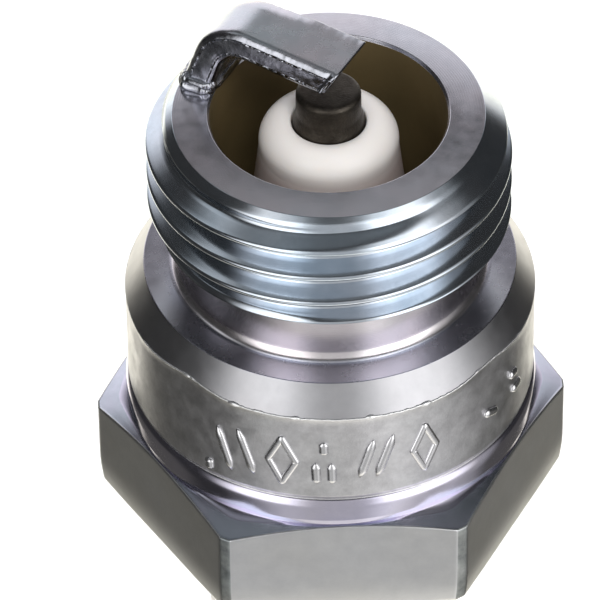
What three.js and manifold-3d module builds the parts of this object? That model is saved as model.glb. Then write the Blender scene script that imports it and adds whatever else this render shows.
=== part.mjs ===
// A compact small-engine spark plug: M14 x 1.25 thread, conical seat, 16 mm hexagon.
// Units are millimetres. +Z runs along the plug towards its firing end, and the origin
// is the centre of the gauge circle on the conical seat, which meets the cylinder head.
import * as THREE from 'three';
import { mergeVertices } from 'three/addons/utils/BufferGeometryUtils.js';
import Module from 'manifold-3d';

const wasm = await Module();
wasm.setup();

// ---------- driving dimensions ----------
const SIDES = 36; // facets round every turned piece
const REACH = 7.7; // gauge circle to firing-end face
const HEIGHT = 43; // gauge circle to the terminal nut's end
const HEX_FLATS = 16; // across flats
const SLIP = 0.05; // radial clearance between nested pieces

const thread = { crest: 6.93, root: 6.2, pitch: 1.25, frontCrest: 6.71, turns: 7, runOut: 2.35 };
const threadShape = {
  crestHalf: 0.07, rootHalf: 0.13, // half widths of the flats, in pitches
  chamferSlope: 0.9, runOutSlope: 0.82, // height gained per radius
};
const seat = { gauge: 7.4, top: 7.14, bottom: 7.89, halfAngle: THREE.MathUtils.degToRad(31.5) };
const band = { face: 5.9, neck: 5.8, fillet: 0.4, r: 7.87, low: -5.0, ring: 7.98, ringRound: 0.45 };
const hex = { top: -6.3, low: -10.85, slope: 0.42, cornerCut: 0.125 };
const collar = { r: 6.95, round: 1.25, low: -13.75 };
const bore = {
  front: 4.48, chamfer: 0.12, step: 0.4, ledge: 3.85, ledgeTop: -0.9, coneTop: -1.6,
  rear: 5.6, lip: 5.08, lipTop: -12.6,
};

const nose = { r: 2.66, tip: 7.36, hole: 1.42, round: 0.9, flare: 2.95, flareZ: 3, base: 3.45, baseZ: -1.65 };
const core = { low: -9.0, hole: 2.1, coneTop: -4.9, coneLow: -5.73 };
const tail = { r: 4.9, groove: 4.4, rib: 5.0, ribs: 4, pitch: 2.3, firstRib: -23.4, end: -34.3, endR: 3.3 };
const washer = { inner: 4.0, outer: 5.3, thick: 0.45 };
const packing = { wire: 0.3, talcTop: -10.2, talcLow: -11.9 };

const electrode = {
  r: 1.27, tip: 8.8, head: 1.95, headTop: -5.6, headLow: -6.2, copper: 0.6, copperTop: 7.3,
};
const strap = {
  width: 2.45, thick: 1.24, azimuth: 148.25, // degrees round the axis, from +X
  bendR: 3.1, bendZ: 8.95, bend: 1.51, // centre and radius of the bend, along the strap's middle
  lean: THREE.MathUtils.degToRad(19.1), // of the leg, inwards
  fall: THREE.MathUtils.degToRad(6.1), // of the arm, towards the axis
  arm: 3.76,
};
const flash = { proud: 0.26, height: 0.5 };
const fill = { lowerLow: -8.7, resistorLow: -16.5, upperLow: -18.7 };
const stud = { shank: 1.85, flange: 3.0, flangeLow: -35.4, post: 1.95, end: -42.3 };
const nut = {
  hole: 2.02, base: 3.1, waist: 2.62, head: 3.17, round: 0.5, headLength: 2.4, baseLength: 2, gap: 0.02,
};

const seatTop = (seat.gauge - seat.top) / Math.tan(seat.halfAngle);
const seatLow = (seat.gauge - seat.bottom) / Math.tan(seat.halfAngle);
const strapFoot = strap.bendR + strap.bend / Math.cos(strap.lean)
  + (strap.bendZ - REACH) * Math.tan(strap.lean);

// ---------- helpers ----------
const at = (r, z) => new THREE.Vector2(r, z);

/** Points along an arc in the (r, z) plane, from one angle in degrees to another. */
function arc(r, z, radius, from, to, steps = 5) {
  return Array.from({ length: steps + 1 }, (_, i) => {
    const a = THREE.MathUtils.degToRad(from + ((to - from) * i) / steps);
    return at(r + radius * Math.cos(a), z + radius * Math.sin(a));
  });
}

/** A turned solid about Z. Its profile starts and ends on the axis and rises on the outside. */
function turned(profile) {
  return new THREE.LatheGeometry(profile, SIDES).rotateX(Math.PI / 2);
}

/** A turned ring. Its profile goes anticlockwise round the section. */
function turnedRing(profile) {
  return turned([...profile, profile[0].clone()]);
}

function rod(r, low, high) {
  return turned([at(0, low), at(r, low), at(r, high), at(0, high)]);
}

function toSolid(geometry) {
  const bare = geometry.clone();
  bare.deleteAttribute('normal');
  bare.deleteAttribute('uv');
  const merged = mergeVertices(bare, 1e-4);
  const vertProperties = new Float32Array(merged.attributes.position.array);
  const triVerts = new Uint32Array(merged.index.array);
  return new wasm.Manifold(new wasm.Mesh({ numProp: 3, vertProperties, triVerts }));
}

function toGeometry(solid) {
  const mesh = solid.getMesh();
  const geometry = new THREE.BufferGeometry();
  geometry.setAttribute('position', new THREE.BufferAttribute(new Float32Array(mesh.vertProperties), 3));
  geometry.setIndex(new THREE.BufferAttribute(new Uint32Array(mesh.triVerts), 1));
  return geometry;
}

const group = new THREE.Group();

function add(name, geometry, color, roughness, metalness) {
  const mesh = new THREE.Mesh(geometry, new THREE.MeshStandardMaterial({ color, roughness, metalness }));
  mesh.name = name;
  group.add(mesh);
}

// ---------- shell ----------
/**
 * A rod with a right-hand helical thread. Each row of points climbs one pitch per turn,
 * so its last point is the first point of the row one pitch above. Both ends close on
 * points of the axis, outside the length that is kept.
 */
function threadedRod() {
  const { crest, root, pitch, frontCrest, turns } = thread;
  const { crestHalf, rootHalf } = threadShape;
  const flanks = [ // radius, height / pitch
    [crest, -crestHalf], [crest, crestHalf], [root, 0.5 - rootHalf], [root, 0.5 + rootHalf],
  ];
  const rows = turns * flanks.length;
  const start = frontCrest + pitch / 4 - 5 * pitch;
  const positions = [];
  const index = [];
  const addPoint = (row, j) => {
    const [r, rise] = flanks[row % flanks.length];
    const angle = (2 * Math.PI * j) / SIDES;
    const z = start + pitch * (Math.floor(row / flanks.length) + rise + j / SIDES);
    positions.push(r * Math.cos(angle), r * Math.sin(angle), z);
  };
  for (let row = 0; row <= rows; row++) {
    for (let j = 0; j < SIDES; j++) addPoint(row, j);
  }
  for (let row = rows + 1; row <= rows + flanks.length; row++) addPoint(row, 0);
  const seam = (row) => (row <= rows ? row * SIDES : rows * SIDES + SIDES - 1 + row - rows);
  const point = (row, j) => (j === SIDES ? seam(row + flanks.length) : row * SIDES + j);
  const low = positions.length / 3;
  const high = low + 1;
  positions.push(0, 0, start - pitch, 0, 0, start + pitch * (turns + 2));
  for (let row = 0; row < rows; row++) {
    for (let j = 0; j < SIDES; j++) {
      const [a, b, c, d] = [point(row, j), point(row, j + 1), point(row + 1, j + 1), point(row + 1, j)];
      index.push(a, b, c, a, c, d);
    }
  }
  for (let j = 0; j < SIDES; j++) {
    index.push(point(0, j + 1), point(0, j), low, point(rows, j), point(rows, j + 1), high);
  }
  for (let k = 0; k < flanks.length; k++) {
    index.push(seam(k), seam(k + 1), low, seam(rows + k + 1), seam(rows + k), high);
  }
  const geometry = new THREE.BufferGeometry();
  geometry.setAttribute('position', new THREE.BufferAttribute(new Float32Array(positions), 3));
  geometry.setIndex(index);
  return geometry;
}

/** The space that the thread fills: a lead-in chamfer above and a run-out cone below. */
function threadEnvelope() {
  const { crest, runOut } = thread;
  const { chamferSlope, runOutSlope } = threadShape;
  const outside = crest + 0.1;
  const chamfer = (outside - band.face) * chamferSlope;
  const coneHeight = (outside - band.neck) * runOutSlope;
  return turned([
    at(0, runOut), at(band.neck, runOut), at(outside, runOut + coneHeight),
    at(outside, REACH - chamfer), at(band.face, REACH), at(0, REACH),
  ]);
}

/** The turned body under the thread: crimped collar, ring, marked band, cone and neck. */
function shellBody() {
  const rounded = arc(collar.r - collar.round, collar.low + collar.round, collar.round, -75, 0);
  const fillet = arc(band.neck + band.fillet, seatTop + band.fillet, band.fillet, 270, 180, 4);
  return turned([
    at(0, collar.low + 0.05), ...rounded, at(collar.r, hex.low + 0.5), at(band.ring, hex.low + 1),
    ...arc(band.ring - band.ringRound, band.low - band.ringRound, band.ringRound, 0, 75, 4),
    at(band.r - 0.1, band.low + 0.04), at(band.r, band.low + 0.2),
    at(band.r, seatLow - 0.12), at(seat.bottom, seatLow), at(seat.top, seatTop), ...fillet,
    at(band.neck, thread.runOut + 0.3), at(0, thread.runOut + 0.3),
  ]);
}

/** The hexagon: its corners are cut narrowly and both its ends are turned to a flat cone. */
function hexagon() {
  const corner = HEX_FLATS / 2 / Math.cos(Math.PI / 6);
  const side = hex.cornerCut * Math.tan(Math.PI / 3);
  const outline = new THREE.Shape();
  for (let k = 0; k < 6; k++) {
    for (const half of [-side, side]) {
      const p = at(corner - hex.cornerCut, half).rotateAround(at(0, 0), (k * Math.PI) / 3);
      if (k === 0 && half < 0) outline.moveTo(p.x, p.y);
      else outline.lineTo(p.x, p.y);
    }
  }
  const prism = new THREE.ExtrudeGeometry(outline, { depth: hex.top - hex.low, bevelEnabled: false });
  prism.translate(0, 0, hex.low);
  const flatR = HEX_FLATS / 2;
  const drop = (corner - flatR) * hex.slope;
  const ends = turned([
    at(0, hex.low), at(flatR, hex.low), at(corner, hex.low + drop),
    at(corner, hex.top - drop), at(flatR, hex.top), at(0, hex.top),
  ]);
  return toSolid(prism).intersect(toSolid(ends));
}

/** Everything inside the shell: the firing bore, the ledge with its cone, and the rear bore. */
function shellBore() {
  const { front, chamfer, step, ledge, ledgeTop, coneTop, rear, lip, lipTop } = bore;
  return turned([
    at(0, collar.low - 1), at(lip, collar.low - 1), at(lip, lipTop - rear + lip), at(rear, lipTop),
    at(rear, coneTop - rear + ledge), at(ledge, coneTop), at(ledge, ledgeTop),
    at(front, ledgeTop + step), at(front, REACH - chamfer), at(front + chamfer, REACH),
    at(front + chamfer, REACH + 1), at(0, REACH + 1),
  ]);
}

const threaded = toSolid(threadedRod()).intersect(toSolid(threadEnvelope()));
const outside = threaded.add(toSolid(shellBody())).add(hexagon());
add('shell', toGeometry(outside.subtract(toSolid(shellBore()))), 0xb4b6bd, 0.3, 1);

// ---------- ground electrode ----------
/** The strap seen from its side: up from the shell's end face, round the bend, across the tip. */
function strapSide() {
  const { bendR, bendZ, bend, lean, fall, arm } = strap;
  const { radToDeg } = THREE.MathUtils;
  const edge = (offset) => {
    const round = arc(bendR, bendZ, bend + offset, radToDeg(lean), 90 + radToDeg(fall), 8);
    const [low, high] = [round[0], round.at(-1)];
    const foot = at(low.x + (low.y - REACH) * Math.tan(lean), REACH);
    const tip = at(high.x - arm * Math.cos(fall), high.y - arm * Math.sin(fall));
    return [foot, ...round, tip];
  };
  const side = new THREE.Shape([...edge(strap.thick / 2), ...edge(-strap.thick / 2).reverse()]);
  const geometry = new THREE.ExtrudeGeometry(side, { depth: strap.width, bevelEnabled: false });
  return geometry.translate(0, 0, -strap.width / 2).rotateX(Math.PI / 2);
}

/** The low collar of upset metal that resistance welding leaves round the strap's foot. */
function weldFlash() {
  const x = strap.thick / 2;
  const y = strap.width / 2;
  const p = flash.proud;
  const foot = new THREE.Shape([
    at(-x - p, -y), at(-x, -y - p), at(x, -y - p), at(x + p, -y),
    at(x + p, y), at(x, y + p), at(-x, y + p), at(-x - p, y),
  ]);
  const geometry = new THREE.ExtrudeGeometry(foot, { depth: flash.height, bevelEnabled: false });
  return geometry.translate(strapFoot, 0, REACH);
}

const strapSolid = toSolid(strapSide()).add(toSolid(weldFlash()));
const strapGeometry = toGeometry(strapSolid).rotateZ(THREE.MathUtils.degToRad(strap.azimuth));
add('ground_electrode', strapGeometry, 0xa8a8b0, 0.35, 1);

// ---------- insulator ----------
/** Ribs of the exposed part, as smooth waves that lengthen the surface a spark must creep along. */
function ribs() {
  const points = [];
  const middle = (tail.rib + tail.groove) / 2;
  const swing = (tail.rib - tail.groove) / 2;
  const steps = 6 * tail.ribs;
  for (let i = 0; i <= steps; i++) {
    const turn = i / 6;
    const z = tail.firstRib - tail.pitch * (tail.ribs - 0.5 - turn);
    points.push(at(middle - swing * Math.cos(2 * Math.PI * turn), z));
  }
  return points;
}

function insulator() {
  const coreR = bore.rear - SLIP;
  const { r, tip, hole, round, flare, flareZ, base, baseZ } = nose;
  return turnedRing([
    at(core.hole, tail.end), at(tail.endR, tail.end), at(tail.endR + 0.4, tail.end + 0.3),
    ...ribs(), at(tail.r, tail.firstRib + tail.pitch), at(tail.r, core.low - 0.6), at(coreR, core.low),
    at(coreR, baseZ - coreR + base), at(base, baseZ), at(base - 0.1, baseZ + 1.2), at(flare, flareZ),
    at(r, tip - 1.6), ...arc(r - round, tip - round, round, 0, 80), at(hole + 0.08, tip),
    at(hole, tip - 0.08), at(hole, core.coneTop), at(core.hole, core.coneLow),
  ]);
}
add('insulator', insulator(), 0xf1ece4, 0.35, 0);

// ---------- packing between the shell and the insulator ----------
function packingWasher() {
  const { inner, outer, thick } = washer;
  const coneZ = (r) => bore.coneTop + bore.ledge - r - 0.02;
  return turnedRing([
    at(inner, coneZ(inner) - thick + 0.04), at(outer, coneZ(outer) - thick + 0.04),
    at(outer, coneZ(outer)), at(inner, coneZ(inner)),
  ]);
}

const gapMiddle = (tail.r + bore.rear) / 2;
function wireRing(z) {
  return turnedRing(arc(gapMiddle, z, packing.wire, 0, 324, 9));
}

function talcRing() {
  const half = packing.wire;
  return turnedRing([
    at(gapMiddle - half, packing.talcLow), at(gapMiddle + half, packing.talcLow),
    at(gapMiddle + half, packing.talcTop), at(gapMiddle - half, packing.talcTop),
  ]);
}
add('inner_packing_washer', packingWasher(), 0x8f9296, 0.5, 1);
add('lower_packing_ring', wireRing(packing.talcTop + packing.wire), 0x8f9296, 0.5, 1);
add('talc_ring', talcRing(), 0xdedbd2, 0.9, 0);
add('upper_packing_ring', wireRing(packing.talcLow - packing.wire), 0x8f9296, 0.5, 1);

// ---------- centre electrode ----------
function electrodeSheath() {
  const { r, tip, head, headTop, headLow, copper, copperTop } = electrode;
  return turned([
    at(0, copperTop + 0.02), at(copper + 0.02, copperTop + 0.02), at(copper + 0.02, headLow),
    at(head, headLow), at(head, headTop), at(r, headTop + head - r - 0.1),
    at(r, tip - 0.07), at(r - 0.07, tip), at(0, tip),
  ]);
}
add('center_electrode', electrodeSheath(), 0x6b6259, 0.5, 1);
add('center_electrode_core', rod(electrode.copper, electrode.headLow, electrode.copperTop), 0xb8734a, 0.4, 1);

// ---------- conductors sealed in the insulator ----------
const fillR = core.hole - SLIP;
add('lower_glass_seal', rod(fillR, fill.lowerLow, electrode.headLow), 0x4a3b34, 0.4, 0);
add('resistor', rod(fillR, fill.resistorLow, fill.lowerLow), 0x2e2c2a, 0.8, 0);
add('upper_glass_seal', rod(fillR, fill.upperLow, fill.resistorLow), 0x4a3b34, 0.4, 0);

// ---------- terminal ----------
function terminalStud() {
  const { shank, flange, flangeLow, post, end } = stud;
  return turned([
    at(0, end), at(post - 0.25, end), at(post, end + 0.25), at(post, flangeLow),
    at(flange, flangeLow), at(flange, tail.end), at(shank, tail.end),
    at(shank, fill.upperLow - 0.4), at(shank - 0.4, fill.upperLow), at(0, fill.upperLow),
  ]);
}

function terminalNut() {
  const { hole, base, waist, head, round, headLength, baseLength, gap } = nut;
  const end = -HEIGHT;
  const top = stud.flangeLow - gap;
  return turnedRing([
    at(hole + 0.2, end), ...arc(head - round, end + round, round, -90, 0, 4),
    at(head, end + headLength), at(waist, end + headLength + head - waist + 0.25),
    at(waist, top - baseLength - 0.6), at(base, top - baseLength),
    at(base, top), at(hole, top), at(hole, end + 0.2),
  ]);
}
add('terminal_stud', terminalStud(), 0xb9bbbf, 0.35, 1);
add('terminal_nut', terminalNut(), 0xc4c6ca, 0.3, 1);

export default group;
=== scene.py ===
"""Looks of a compact spark plug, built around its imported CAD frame.

Shapes are worked out in millimetres in the CAD's own frame (+Z towards the firing end,
origin on the seat's gauge circle) and turned into metres when a mesh is made.
"""
import math

import bpy
import numpy as np
from mathutils import Matrix, Vector, noise


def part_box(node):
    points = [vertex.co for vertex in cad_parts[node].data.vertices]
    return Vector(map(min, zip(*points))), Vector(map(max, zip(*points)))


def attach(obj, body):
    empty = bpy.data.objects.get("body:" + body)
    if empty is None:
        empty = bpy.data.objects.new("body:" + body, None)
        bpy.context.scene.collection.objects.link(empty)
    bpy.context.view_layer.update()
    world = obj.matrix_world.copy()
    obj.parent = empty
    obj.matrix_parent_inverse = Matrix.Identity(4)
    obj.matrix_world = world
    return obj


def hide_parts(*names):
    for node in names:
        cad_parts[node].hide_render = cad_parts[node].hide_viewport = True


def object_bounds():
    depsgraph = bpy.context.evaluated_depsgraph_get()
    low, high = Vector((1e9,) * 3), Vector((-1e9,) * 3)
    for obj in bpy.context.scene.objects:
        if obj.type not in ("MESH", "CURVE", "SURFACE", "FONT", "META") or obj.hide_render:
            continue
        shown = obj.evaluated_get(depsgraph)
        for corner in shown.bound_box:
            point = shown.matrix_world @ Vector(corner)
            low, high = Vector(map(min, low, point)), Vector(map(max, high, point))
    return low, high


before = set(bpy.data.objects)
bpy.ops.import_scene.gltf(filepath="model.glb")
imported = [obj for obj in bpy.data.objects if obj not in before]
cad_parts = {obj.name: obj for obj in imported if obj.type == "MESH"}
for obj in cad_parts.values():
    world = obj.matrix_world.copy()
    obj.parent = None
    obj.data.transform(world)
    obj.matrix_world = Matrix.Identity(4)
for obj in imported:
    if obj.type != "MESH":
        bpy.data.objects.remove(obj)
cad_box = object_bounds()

MM = 0.001
PLUG = "plug"
NUT = "nut"


def node_box(node):
    """Lowest and highest corner of a CAD node, in millimetres."""
    low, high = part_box(node)
    return np.array(low) / MM, np.array(high) / MM


SHELL_HIGH = node_box("shell")[1]
INSULATOR_LOW = node_box("insulator")[0]
TIP_HIGH = node_box("center_electrode")[1]
STUD_LOW = node_box("terminal_stud")[0]
NUT_LOW, NUT_HIGH = node_box("terminal_nut")

# ---------- shell dimensions, in millimetres ----------
FACE_Z = SHELL_HIGH[2]          # firing-end face
HEX_HALF = SHELL_HIGH[1]        # half the distance across flats
CREST, ROOT, PITCH, FRONT_CREST = 6.93, 6.2, 1.25, 6.71
FACE_R, NECK_R, BAND_R, RING_R = 5.9, 5.8, 7.87, 7.98
FACE_EDGE_Z = FACE_Z - 0.06     # the end face is slightly domed
SHOULDER_R, SHOULDER_Z = 7.14, 0.424
CONE_R, CONE_Z, CONE_SLOPE = 7.89, -0.80, 0.613
BAND_LOW, RING_LOW = -5.0, -6.25
HEX_TOP, HEX_LOW, HEX_SLOPE, HEX_EDGE = -6.3, -10.85, 0.42, 0.07
HEX_LOW_SLOPE, HEX_LOW_EDGE, HEX_BARREL = 0.10, 0.3, 0.1
CORNER_CUT = 0.125
UNDER_R = HEX_HALF - 0.75       # where the hexagon's underside meets the collar's fillet
BARREL_PART = 0.36              # lower part of the hexagon's wall that eases inwards
BAND_TOP = -4.3                 # the band is plain up to this height
SEAT_LIFT, LIFT_BEARING, LIFT_SPREAD = 0.2, 47, 11      # rise of the seat's edge, and where
FACE_FALL, FACE_BOW = 0.03, 0.009                       # slope and curve of the end face
COLLAR_R, COLLAR_LOW, COLLAR_ROUND = 6.8, -13.7, 1.6
REAR_END = -12.6                # where the rear bore stops under the crimped lip
BORE_R, LEDGE_R, REAR_R, LIP_R = 4.48, 3.85, 5.6, 5.08


# ---------- outlines ----------
def arc(r, z, radius, start, end, steps=6):
    """Points of an arc in the (r, z) plane, angles in degrees."""
    angles = np.radians(np.linspace(start, end, steps + 1))
    return [(r + radius * math.cos(a), z + radius * math.sin(a)) for a in angles]


def rounded(corners, steps=4, hold=0.6):
    """An outline from corners (r, z, radius): each is rounded, with a holding point beside its arc."""
    points = []
    last = len(corners) - 1
    for i, (r, z, radius) in enumerate(corners):
        here = np.array((r, z))
        if radius == 0 or i in (0, last):
            points.append((r, z))
            continue
        to_last = np.array(corners[i - 1][:2]) - here
        to_next = np.array(corners[i + 1][:2]) - here
        reach = min(np.linalg.norm(to_last), np.linalg.norm(to_next))
        to_last /= np.linalg.norm(to_last)
        to_next /= np.linalg.norm(to_next)
        half = math.acos(np.clip(to_last @ to_next, -1, 1)) / 2
        run = min(radius / math.tan(half), 0.45 * reach)
        radius = run * math.tan(half)
        bisector = (to_last + to_next) / np.linalg.norm(to_last + to_next)
        centre = here + bisector * radius / math.sin(half)
        first, final = here + to_last * run, here + to_next * run
        if hold and run * (1 + hold) < 0.49 * reach:
            points.append(tuple(here + to_last * run * (1 + hold)))
        start, end = first - centre, final - centre
        for t in np.linspace(0, 1, steps + 1):
            ray = start * (1 - t) + end * t
            points.append(tuple(centre + ray * radius / np.linalg.norm(ray)))
        if hold and run * (1 + hold) < 0.49 * reach:
            points.append(tuple(here + to_next * run * (1 + hold)))
    return points


# ---------- meshes ----------
class Surface:
    """Vertices in millimetres and faces with a material index, gathered ring by ring."""

    def __init__(self):
        self.points, self.faces, self.zones = [], [], []

    def ring(self, r, z, angles):
        """One vertex per angle, at radius r and height z (numbers, or one for each angle)."""
        r, z = np.broadcast_to(r, angles.shape), np.broadcast_to(z, angles.shape)
        start = len(self.points)
        self.points += np.column_stack((r * np.cos(angles), r * np.sin(angles), z)).tolist()
        return np.arange(start, start + len(angles))

    def face(self, corners, zone=0):
        self.faces.append([int(c) for c in corners])
        self.zones.append(zone)

    def bridge(self, low, high, zone=0):
        """Quads between two rings. Outside faces look out when high is the upper ring."""
        count = len(low)
        for j in range(count):
            k = (j + 1) % count
            self.face((low[j], low[k], high[k], high[j]), zone)

    def cap(self, ring, z, zone=0, top=True):
        middle = len(self.points)
        self.points.append((0, 0, z))
        count = len(ring)
        for j in range(count):
            k = (j + 1) % count
            self.face((ring[j], ring[k], middle) if top else (ring[k], ring[j], middle), zone)

    def make(self, name, materials):
        mesh = bpy.data.meshes.new(name)
        mesh.from_pydata((np.array(self.points) * MM).tolist(), [], self.faces)
        for material in materials:
            mesh.materials.append(material)
        mesh.polygons.foreach_set("material_index", self.zones)
        mesh.shade_smooth()
        mesh.update()
        obj = bpy.data.objects.new(name, mesh)
        bpy.context.scene.collection.objects.link(obj)
        return obj


def circle(sides):
    return np.linspace(0, 2 * math.pi, sides, endpoint=False)


def turned(name, profile, material, sides=192, closed=False):
    """A turned solid. An open profile starts and ends on the axis; a closed one runs anticlockwise."""
    surface, angles = Surface(), circle(sides)
    if closed:
        rings = [surface.ring(r, z, angles) for r, z in profile]
        for low, high in zip(rings, rings[1:] + rings[:1]):
            surface.bridge(low, high)
        return surface.make(name, [material])
    rings = [surface.ring(r, z, angles) for r, z in profile[1:-1]]
    surface.cap(rings[0], profile[0][1], top=False)
    for low, high in zip(rings, rings[1:]):
        surface.bridge(low, high)
    surface.cap(rings[-1], profile[-1][1])
    return surface.make(name, [material])


def fit(obj, body, slot, *nodes):
    """A piece rides on its body and stands for its CAD nodes; slot is not used."""
    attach(obj, body)
    if nodes:
        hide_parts(*nodes)
    return obj


# ---------- materials ----------
class Graph:
    """The node tree of a material, or of the world, written as calls."""

    def __init__(self, owner, shader="Principled BSDF", space="Object"):
        self.material = owner
        owner.use_nodes = True
        self.tree = owner.node_tree
        self.shader = self.tree.nodes[shader]
        self.where = self.node("ShaderNodeTexCoord").outputs[space]

    def node(self, kind, inputs=None, **settings):
        made = self.tree.nodes.new(kind)
        for key, value in settings.items():
            setattr(made, key, value)
        for key, value in (inputs or {}).items():
            self.put(made.inputs[key], value)
        return made

    def put(self, socket, value):
        if isinstance(value, bpy.types.NodeSocket):
            self.tree.links.new(value, socket)
        else:
            socket.default_value = value

    def set(self, **values):
        for key, value in values.items():
            self.put(self.shader.inputs[key.replace("_", " ")], value)

    def math(self, operation, *values, clamp=False):
        made = self.node("ShaderNodeMath", operation=operation, use_clamp=clamp)
        for i, value in enumerate(values):
            self.put(made.inputs[i], value)
        return made.outputs[0]

    def noise(self, scale, detail=4, rough=0.55, stretch=(1, 1, 1), distort=0.0):
        """Noise with features of about 1 / scale millimetres."""
        mapped = self.node("ShaderNodeMapping", {"Vector": self.where, "Scale": stretch}).outputs[0]
        inputs = {"Vector": mapped, "Scale": scale / MM, "Detail": detail, "Roughness": rough,
                  "Distortion": distort}
        return self.node("ShaderNodeTexNoise", inputs).outputs["Fac"]

    def ramp(self, value, low, high, from_low=0.0, from_high=1.0):
        inputs = {"Value": value, "From Min": from_low, "From Max": from_high,
                  "To Min": low, "To Max": high}
        return self.node("ShaderNodeMapRange", inputs).outputs[0]

    def mix(self, factor, a, b, blend="MIX"):
        made = self.node("ShaderNodeMix", data_type="RGBA", blend_type=blend)
        self.put(made.inputs["Factor"], factor)
        for socket, value in ((made.inputs[6], a), (made.inputs[7], b)):
            self.put(socket, (*value, 1) if isinstance(value, tuple) else value)
        return made.outputs[2]

    def bump(self, height, distance, strength=1.0, after=None):
        inputs = {"Height": height, "Distance": distance * MM, "Strength": strength}
        if after is not None:
            inputs["Normal"] = after
        return self.node("ShaderNodeBump", inputs).outputs[0]

    def radius(self):
        """Distance from the plug's axis, in millimetres."""
        parts = self.node("ShaderNodeSeparateXYZ", {0: self.where}).outputs
        squares = self.math("ADD", self.math("POWER", parts[0], 2.0), self.math("POWER", parts[1], 2.0))
        return self.math("MULTIPLY", self.math("SQRT", squares), 1 / MM)

    def height(self):
        parts = self.node("ShaderNodeSeparateXYZ", {0: self.where}).outputs
        return self.math("MULTIPLY", parts[2], 1 / MM)


def metal(name, color, tint, roughness, lathe=0.0, grain=0.005, spread=0.03, cloud=0.08, turned=0.0,
          bare=1.0):
    """Plated or bare metal: a tint that drifts, uneven gloss and fine grain.

    lathe adds fine turning marks, turned stretches the gloss across them, and bare is how
    metallic the surface is.
    """
    g = Graph(bpy.data.materials.new(name))
    drift = g.ramp(g.noise(0.35, detail=3), 0.0, 1.0, 0.3, 0.7)
    patches = g.ramp(g.noise(1.4, detail=6, rough=0.7), 1.0 - cloud, 1.0 + cloud * 0.7, 0.3, 0.7)
    base = g.mix(drift, color, tint)
    shade = g.node("ShaderNodeCombineColor", {0: patches, 1: patches, 2: patches}).outputs[0]
    g.set(Base_Color=g.mix(1.0, base, shade, "MULTIPLY"), Metallic=bare)
    gloss = g.noise(1.6, detail=3)
    g.set(Roughness=g.ramp(gloss, roughness - spread, roughness + spread, 0.3, 0.7))
    normal = g.bump(g.noise(14, detail=2, rough=0.5), grain * 0.1, 0.6)
    if lathe:
        rings = g.math("ADD", g.radius(), g.height())
        wobble = g.math("MULTIPLY", g.noise(0.5, detail=2), 0.12)
        wave = g.math("SINE", g.math("MULTIPLY", g.math("ADD", rings, wobble), 2 * math.pi / 0.09))
        normal = g.bump(wave, lathe * 0.01, 0.7, after=normal)
    if turned:
        around = g.node("ShaderNodeTangent", direction_type="RADIAL", axis="Z").outputs[0]
        g.set(Anisotropic=turned, Anisotropic_Rotation=0.25, Tangent=around)
    g.set(Normal=normal)
    return g.material


def ceramic(name, color, warm, bore_shade, roughness, coat):
    """Fired ceramic; below the nose's tip its colour goes over to a darker pinkish one, painted shade for
    the shadow inside the shell's bore.
    """
    g = Graph(bpy.data.materials.new(name))
    speck = g.ramp(g.noise(9, detail=3), 0.0, 1.0, 0.68, 0.8)
    base = g.mix(g.ramp(g.noise(0.3, detail=2), 0.0, 1.0, 0.35, 0.65), color, warm)
    base = g.mix(g.math("MULTIPLY", speck, 0.12), base, (0.62, 0.56, 0.5))
    # painted shade: darker and pinker down the nose where the bore shades it, not on the part outside the
    # shell
    shade_below_tip = g.ramp(g.height(), 1.0, 0.0, 5.75, 6.75)
    above_seat = g.ramp(g.height(), 0.0, 1.0, -3.0, 0.0)
    g.set(Base_Color=g.mix(g.math("MULTIPLY", shade_below_tip, above_seat), base, bore_shade))
    g.set(Roughness=g.ramp(g.noise(3, detail=4), roughness - 0.06, roughness + 0.06, 0.3, 0.7))
    g.set(Normal=g.bump(g.noise(12, detail=4), 0.004, 0.5))
    g.set(Subsurface_Weight=0.25, Subsurface_Scale=0.4 * MM, Subsurface_Radius=(1.0, 0.8, 0.6))
    g.set(Coat_Weight=coat, Coat_Roughness=0.12)
    return g.material


def powder(name, color, other, roughness, grain):
    g = Graph(bpy.data.materials.new(name))
    g.set(Base_Color=g.mix(g.ramp(g.noise(grain, detail=5), 0.0, 1.0, 0.35, 0.65), color, other))
    g.set(Roughness=g.ramp(g.noise(grain * 2), roughness - 0.08, roughness, 0.3, 0.7))
    g.set(Normal=g.bump(g.noise(grain * 3, detail=5), 0.02, 0.6))
    return g.material


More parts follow.
